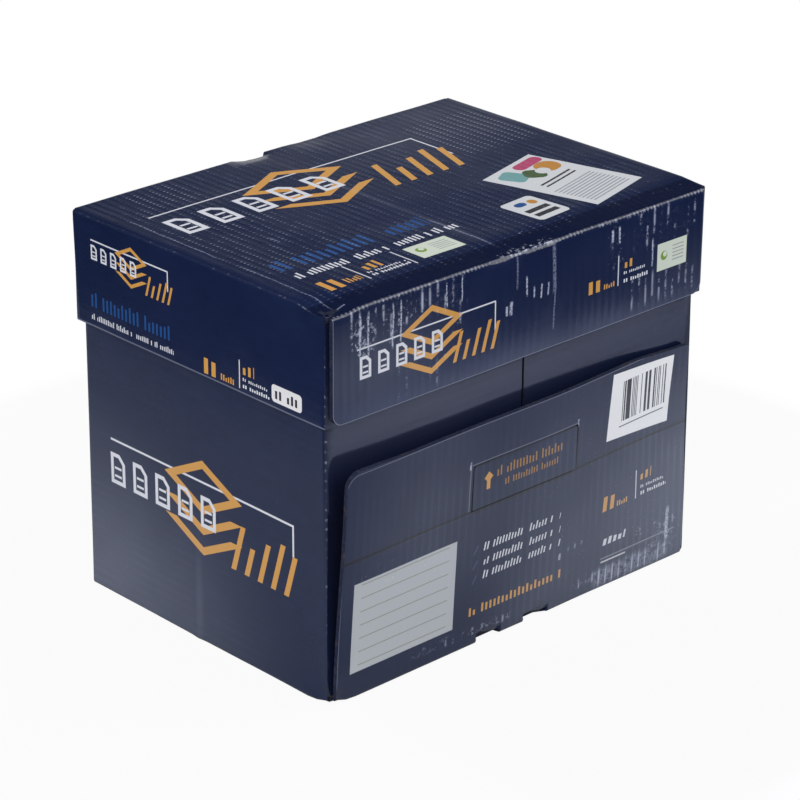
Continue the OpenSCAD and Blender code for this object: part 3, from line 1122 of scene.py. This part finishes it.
def fold_base(sizes):
    """The base's blank: floor, end walls with their corner flaps, and the outer panels."""
    end = BASE_HIGH.x
    sheet = cut_blank("base_blank", 2 * end, 2 * PANEL_FOOT_Y, 0, face_down=True)
    for sign in (-1, 1):
        score((sign * PANEL_X, 0, 0), (1, 0, 0))
        score((0, sign * WALL_Y, 0), (0, 1, 0))
    trim(lambda p: abs(p.x) > PANEL_X and abs(p.y) > WALL_Y)
    for sign in (-1, 1):
        fold_out(lambda p: near(p.x, sign * end), (0, 0, BASE_HIGH.z))
        fold_out(lambda p: near(p.y, sign * PANEL_FOOT_Y),
                 (0, sign * (PANEL_TOP_Y - PANEL_FOOT_Y), PANEL_TOP_Z))
    score((0, 0, SLIT), (0, 0, 1), lambda p: near(abs(p.x), end))
    on_end = lambda p: near(abs(p.x), end) and near(abs(p.y), WALL_Y) and p.z > NEAR_SLIT
    for x in (-1, 1):
        for y in (-1, 1):
            seam = -y * SEAM_X + x * SEAM_HALF
            fold_out(lambda p: on_end(p) and p.x * x > 0 and p.y * y > 0, (seam - x * end, 0, 0))
    bpy.ops.mesh.select_all(action="SELECT")
    bpy.ops.mesh.normals_make_consistent(inside=False)
    corner = lambda p: near(abs(p.x), PANEL_X) and near(p.z, PANEL_TOP_Z)
    round_corners(lambda p: corner(p) and p.x * p.y > 0, PANEL_LEFT_RADIUS)
    round_corners(lambda p: corner(p) and p.x * p.y < 0, PANEL_RIGHT_RADIUS)
    radius = sizes.fold_radius
    round_folds(lambda p: near(p.z, 0) and near(abs(p.y), PANEL_FOOT_Y), radius)
    round_folds(lambda p: near(p.z, 0) and near(abs(p.x), end), radius)
    round_folds(on_end, radius)
    for sign in (-1, 1):
        cut_window(sign, sizes.panel_lean)
    # Sharp ends of the strap's notches
    for x in (-0.034, -0.0135, 0.0065, 0.028):
        for ease in (-0.0004, 0.0004):
            score((x + ease, 0, 0), (1, 0, 0), lambda p: p.y < -0.08 and p.z < 0.03)
    divide(BASE_LOW, BASE_HIGH, sizes.cell)
    return sheet


def cut_window(sign, lean):
    """Cuts a handle flap's window from an outer panel and presses the crease at its foot."""
    in_panel = lambda p: sign * p.y > WALL_Y + 1e-4 and p.z > 0.004
    up = Vector((0, sign * math.sin(lean), math.cos(lean)))
    foot = Vector((0, sign * WALL_Y, PIVOT.z))
    for x in (-WINDOW_X, WINDOW_X):
        score((x, 0, 0), (1, 0, 0), in_panel)
    for height in (WINDOW_FROM - MM, WINDOW_FROM, WINDOW_FROM + MM, WINDOW_TO):
        score(foot + up * height, up, in_panel)
    low, high = (foot + up * WINDOW_FROM).z, (foot + up * WINDOW_TO).z
    trim(lambda p: in_panel(p) and abs(p.x) < WINDOW_X and low < p.z < high)
    beside = lambda p: abs(p.z - low) < 0.0004 and abs(p.x) > WINDOW_X - 1e-5
    press(lambda p: in_panel(p) and beside(p), (0, -sign * 0.0003, 0))


def make_handle_flap(name, sign, sizes):
    """A die-cut flap of an outer panel, pressed in a little at its top edge."""
    stand_clear()
    bpy.ops.mesh.primitive_plane_add(size=1)
    flap = bpy.context.object
    flap.name = flap.data.name = name
    bpy.ops.object.mode_set(mode="EDIT")
    bpy.ops.transform.resize(value=(FLAP_WIDTH, FLAP_HEIGHT, 1))
    bpy.ops.transform.translate(value=(0, FLAP_HEIGHT / 2 + FLAP_GAP, 0))
    round_corners(lambda p: p.y > FLAP_HEIGHT / 2, 0.002)
    for x in range(-36, 37, 8):
        score((x * MM, 0, 0), (1, 0, 0))
    for y in (0.0022, 0.008, 0.016, 0.024):
        score((0, y, 0), (0, 1, 0))
    press(lambda p: p.y > 0.028 and p.x < -0.036, (0, 0, 0.0005), 0.02)
    bpy.ops.object.mode_set(mode="OBJECT")
    lean = sizes.panel_lean
    hinge = PIVOT + Vector((0, -math.cos(lean), -math.sin(lean))) * sizes.board
    hinge += Vector((0, -math.sin(lean), math.cos(lean))) * WINDOW_FROM
    tilt = math.pi / 2 + lean - FLAP_PRESS
    placed = Matrix.Translation(hinge) @ Matrix.Rotation(tilt, 4, "X")
    if sign > 0:
        placed = Matrix.Rotation(math.pi, 4, "Z") @ placed
    flap.matrix_world = placed
    bpy.ops.object.transform_apply(location=True, rotation=True, scale=True)
    lay_out_print(flap)
    face = "panel" if sign < 0 else "panel_back"
    give_board(flap, [face], lambda place, normal: face)
    return flap


def press_base():
    """Warp of the outer panels, the strap's notches and the crushed corner."""
    near_left = lambda p: p.x < -0.143 and p.y < -0.118 and p.z > 0.132
    press(near_left, (0.001, -0.0022, 0), 0.11)
    press(near_left, (0, 0, 0.0014), 0.055)
    for sign in (-1, 1):
        far_right = lambda p: -sign * p.x > 0.143 and sign * p.y > 0.1115 and p.z > 0.132
        press(far_right, (sign * 0.0016, -sign * 0.0062, 0), 0.13)
        press(far_right, (0, 0, -0.0034), 0.055)
    # Each notch is pressed in over its whole length and again, higher up, over its left half
    for left, right, rise, shift in (
            (-0.0337, -0.0138, 0.0045, (0, 0.001, 0.0026)),
            (-0.0337, -0.0238, 0.0075, (0, 0.0004, 0.0026)),
            (0.0068, 0.0277, 0.0045, (0, 0.001, 0.0024)),
            (0.0068, 0.0168, 0.0068, (0, 0.0004, 0.0014))):
        press(lambda p: p.y < -0.1075 and p.z < rise and left < p.x < right, shift)
    # The lower corner at the near end, and the worn fold in the middle of that end
    press(lambda p: p.y < -0.1075 and p.z < 0.0045 and p.x < -0.144,
          (0.001, 0.0012, 0.0012), 0.01)
    press(lambda p: p.x < -0.15 and p.y < -0.104 and p.z < 0.02, (0.0016, 0.0012, 0), 0.014)
    press(lambda p: p.x < -0.153 and abs(p.y - 0.006) < 0.004 and p.z < 0.05,
          (-0.0007, 0, 0), 0.008)


def press_lid(deep):
    """Dent of the back edge, droop of the front edge and the crushed spots along it."""
    front = lambda p: p.y < -0.1135 and p.z > 0.246
    back = lambda p: p.y > 0.1115 and p.z > 0.2462
    press(front, (0, 0, -0.0015), 0.019, "LINEAR")
    press(lambda p: front(p) and abs(p.x) < 0.028, (0, 0.0004, -0.0007), 0.016)
    press(lambda p: front(p) and 0.002 < p.x < 0.02, (0, 0.0006, -0.0006))
    press(lambda p: front(p) and -0.026 < p.x < -0.012, (0, 0.0004, -0.0005))
    press(lambda p: p.z > 0.248 and p.y < -0.1 and p.x < -0.138, (0, 0, -0.0018), 0.014)
    press(lambda p: p.z > 0.247 and p.y < -0.106 and p.x < -0.1465, (0.0004, 0.0004, -0.0012))
    for low, share in ((-0.0282, 0.3), (-0.0245, 0.4), (-0.0145, 0.15), (-0.009, 0.15)):
        press(lambda p: back(p) and low < p.x < -0.0042, (0, -0.0003, -share * deep))
    press(lambda p: p.y > 0.104 and p.z > 0.249 and -0.024 < p.x < -0.006, (0, 0, -0.0005), 0.01)
    press(lambda p: back(p) and 0.018 < p.x < 0.042, (0, -0.0002, -0.0006), 0.012)


def settle(sheet, body, slot, *nodes):
    """Hands a finished piece to the frame."""
    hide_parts(*nodes)
    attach(sheet, body)


class CARTON_OT_lid(bpy.types.Operator):
    """Fold the lid from its blank, dent it and print it"""
    bl_idname = "carton.make_lid"
    bl_label = "Lid"

    def execute(self, context):
        sizes = context.scene.carton_sizes
        sheet = fold_lid(sizes)
        press_lid(sizes.edge_dent)
        bpy.ops.object.mode_set(mode="OBJECT")
        wave_sheet(sheet, sizes.unevenness, 0.06)
        lay_out_print(sheet)

        def chosen(place, normal):
            if normal.z > 0.7:
                return "lid_top"
            if abs(normal.x) > 0.7:
                return "lid_end"
            if abs(place.y) < EAR_Y + 0.001:
                return "band"
            if place.y > 0:
                return "lid_back"
            return "lid_front_left" if place.x < 0.034 else "lid_front_right"

        give_board(sheet, [
            "lid_top", "lid_end", "lid_front_left", "lid_front_right", "lid_back", "band"], chosen)
        settle(sheet, "lid", "lid_board", "carton_lid")
        return {"FINISHED"}


class CARTON_OT_base(bpy.types.Operator):
    """Fold the base from its blank, wear it and print it"""
    bl_idname = "carton.make_base"
    bl_label = "Base"

    def execute(self, context):
        sizes = context.scene.carton_sizes
        sheet = fold_base(sizes)
        press_base()
        bpy.ops.object.mode_set(mode="OBJECT")
        wave_sheet(sheet, sizes.unevenness, 0.07)
        lay_out_print(sheet)

        def chosen(place, normal):
            if abs(normal.x) > 0.7:
                return "base_end"
            if abs(normal.y) > 0.7 and abs(place.y) > WALL_Y + 0.0012:
                return "panel" if place.y < 0 else "panel_back"
            return "band"

        give_board(sheet, ["base_end", "panel", "panel_back", "band"], chosen)
        settle(sheet, "base", "base_board", "carton_base")
        return {"FINISHED"}


class CARTON_OT_flaps(bpy.types.Operator):
    """Cut the two handle flaps from the outer panels"""
    bl_idname = "carton.make_flaps"
    bl_label = "Handle flaps"

    def execute(self, context):
        sizes = context.scene.carton_sizes
        for side, sign in (("front", -1), ("back", 1)):
            flap = make_handle_flap(side + "_flap_board", sign, sizes)
            settle(flap, side + "_flap", "base_board", side + "_handle_flap")
        return {"FINISHED"}


class CARTON_OT_reams(bpy.types.Operator):
    """Wrap the reams in coated paper"""
    bl_idname = "carton.wrap_reams"
    bl_label = "Reams"

    def execute(self, context):
        paper = material_of("wrapper")
        for name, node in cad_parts.items():
            if name.startswith("ream_"):
                node.data.materials.clear()
                node.data.materials.append(paper)
        return {"FINISHED"}


class CARTON_OT_studio(bpy.types.Operator):
    """Set the floor, the light, the camera and the view"""
    bl_idname = "carton.set_studio"
    bl_label = "Studio"

    def execute(self, context):
        scene = context.scene
        scene.view_settings.view_transform = "Standard"
        lay_floor()
        light_world(scene)
        lamps(scene)
        place_camera(scene)
        return {"FINISHED"}


def lay_floor():
    """A pale floor that keeps the carton's shadow and is mirrored in its sides; what the sides
    mirror is a painted pool of light with painted shadow.
    """
    stand_clear()
    bpy.ops.mesh.primitive_plane_add(size=1, location=(0.28, 0.1, -0.0004))
    floor = bpy.context.object
    floor.name = floor.data.name = "studio_floor"
    floor.scale = (1.6, 1.3, 1)
    bpy.ops.object.transform_apply(location=True, rotation=True, scale=True)
    floor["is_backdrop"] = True

    paint = Finish("studio_floor_paint")
    place = paint.add("TexCoord").outputs["Object"]
    x, y = paint.split(place)[:2]

    # Painted pool of light: grey round the carton and black past that, with soft borders
    near_side = paint.total(-0.43, paint.product(paint.ramp(x, 0.31, 0.26), -0.09))
    painted_light_pool = paint.product(
        paint.ramp(x, -0.437, -0.402), paint.ramp(x, 1.0, 0.8), paint.ramp(y, 0.72, 0.6),
        paint.ramp(paint.less(y, near_side), -0.02, 0.02))

    # Painted shadow, darker in front of the worn panel, with a bluer and paler strip of painted
    # light further out
    painted_shadow_ahead = paint.product(paint.ramp(x, -0.17, -0.1), paint.ramp(y, -0.1, -0.16))
    painted_light_strip = paint.product(
        paint.ramp(y, -0.33, -0.36), paint.ramp(y, -0.452, -0.43), paint.ramp(x, -0.1, 0.0))
    level = paint.scaled(painted_light_strip, 0.5, paint.scaled(painted_shadow_ahead, -0.17, 0.5))
    tint = paint.blend(painted_light_strip, (0.9, 0.94, 1.0), (0.88, 0.97, 1.35))
    paint.set(Roughness=0.9, IOR=1.3, Base_Color=paint.vector(
        "MULTIPLY", tint, paint.join(*[paint.product(painted_light_pool, level)] * 3)))

    # The camera sees it white, but for a trace of the shadow near the carton
    path = paint.add("LightPath").outputs["Is Camera Ray"]
    away = paint.vector("LENGTH", place)
    bare = paint.either(paint.ramp(away, 0.2, 0.4), 0.94)
    shine = paint.add("Emission", {"Color": (1, 1, 1, 1), "Strength": 1.0})
    mixed = paint.add("MixShader", {
        0: paint.product(path, bare), 1: paint.shader.outputs[0], 2: shine.outputs[0]})
    paint.feed(paint.surface, mixed.outputs[0])
    floor.data.materials.append(paint.material)


def light_world(scene):
    """White to the camera, pale walls to what mirrors them and grey to the rest."""
    world = scene.world or bpy.data.worlds.new("studio")
    scene.world = world
    world.use_nodes = True
    world.node_tree.nodes.clear()
    sky = Nodes(world.node_tree)
    side, depth, height = sky.split(sky.add("TexCoord").outputs["Generated"])[:3]
    path = sky.add("LightPath").outputs
    walls = sky.product(
        sky.ramp(height, 0.38, 0.1), sky.ramp(height, -0.22, -0.08),
        sky.ramp(side, -0.8, -0.1), sky.ramp(depth, -0.8, -0.1))
    shiny = sky.either(path["Is Glossy Ray"], path["Is Transmission Ray"])
    level = sky.total(
        sky.product(shiny, walls, 0.75), sky.product(sky.less(1.0, shiny), 0.5))
    level = sky.either(level, path["Is Camera Ray"])
    light = sky.add("Background", {"Color": (1, 1, 1, 1), "Strength": level})
    sky.feed(sky.add("OutputWorld").inputs["Surface"], light.outputs[0])


def lamps(scene):
    """Two big soft lamps above, to the right and to the left of the camera."""
    for name, place in (("right_lamp", (1.5, -1.5, 1.8)), ("left_lamp", (-2.1, -0.5, 1.5))):
        lamp = bpy.data.lights.new(name, "AREA")
        lamp.size = 1.8
        lamp.energy = 40
        holder = bpy.data.objects.new(name, lamp)
        scene.collection.objects.link(holder)
        holder.location = place
        aim = Vector((0, 0, 0.12)) - Vector(place)
        holder.rotation_euler = aim.to_track_quat("-Z", "Y").to_euler()


def place_camera(scene):
    """The photograph's viewing angle."""
    turn, rise, roll = (math.radians(a) for a in (-43.3548, 23.6658, 0.3112))
    target = Vector((0.00708, 0, 0.11317))
    distance = 2.02875
    back = Vector((
        math.sin(turn) * math.cos(rise), -math.cos(turn) * math.cos(rise), math.sin(rise)))
    right = Vector((math.cos(turn), math.sin(turn), 0))
    up = back.cross(right)
    across = right * math.cos(roll) + up * math.sin(roll)
    over = up * math.cos(roll) - right * math.sin(roll)
    lens = bpy.data.cameras.new("camera")
    lens.lens = 146.56
    lens.sensor_width = 36
    lens.clip_start = 0.1
    lens.clip_end = 20
    camera = bpy.data.objects.new("camera", lens)
    scene.collection.objects.link(camera)
    place = Matrix((across, over, back)).transposed().to_4x4()
    place.translation = target + back * distance
    camera.matrix_world = place
    scene.camera = camera


class CARTON_PT_panel(bpy.types.Panel):
    """Makes the carton's pieces and shows its sizes and colours"""
    bl_idname = "CARTON_PT_panel"
    bl_label = "Copier paper carton"
    bl_space_type = "VIEW_3D"
    bl_region_type = "UI"
    bl_category = "Carton"

    def draw(self, context):
        for group in (context.scene.carton_sizes, context.scene.carton_colours):
            column = self.layout.column()
            for key in group.bl_rna.properties.keys():
                if key not in {"rna_type", "name"}:
                    column.prop(group, key)
        column = self.layout.column()
        for step in STEPS:
            column.operator(step.bl_idname)


STEPS = (CARTON_OT_studio, CARTON_OT_lid, CARTON_OT_base, CARTON_OT_flaps, CARTON_OT_reams)
CLASSES = (CartonSizes, CartonColours, *STEPS, CARTON_PT_panel)


def register():
    for made in CLASSES:
        bpy.utils.register_class(made)
    bpy.types.Scene.carton_sizes = bpy.props.PointerProperty(type=CartonSizes)
    bpy.types.Scene.carton_colours = bpy.props.PointerProperty(type=CartonColours)


def unregister():
    del bpy.types.Scene.carton_colours
    del bpy.types.Scene.carton_sizes
    for made in reversed(CLASSES):
        bpy.utils.unregister_class(made)


def main():
    register()
    bpy.ops.carton.set_studio()
    bpy.ops.carton.make_lid()
    bpy.ops.carton.make_base()
    bpy.ops.carton.make_flaps()
    bpy.ops.carton.wrap_reams()
    boxes = {
        name: [list(corner) for corner in box]
        for name, box in (("cad", CAD_BOX), ("visual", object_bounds()))}


if __name__ == "__main__":
    main()
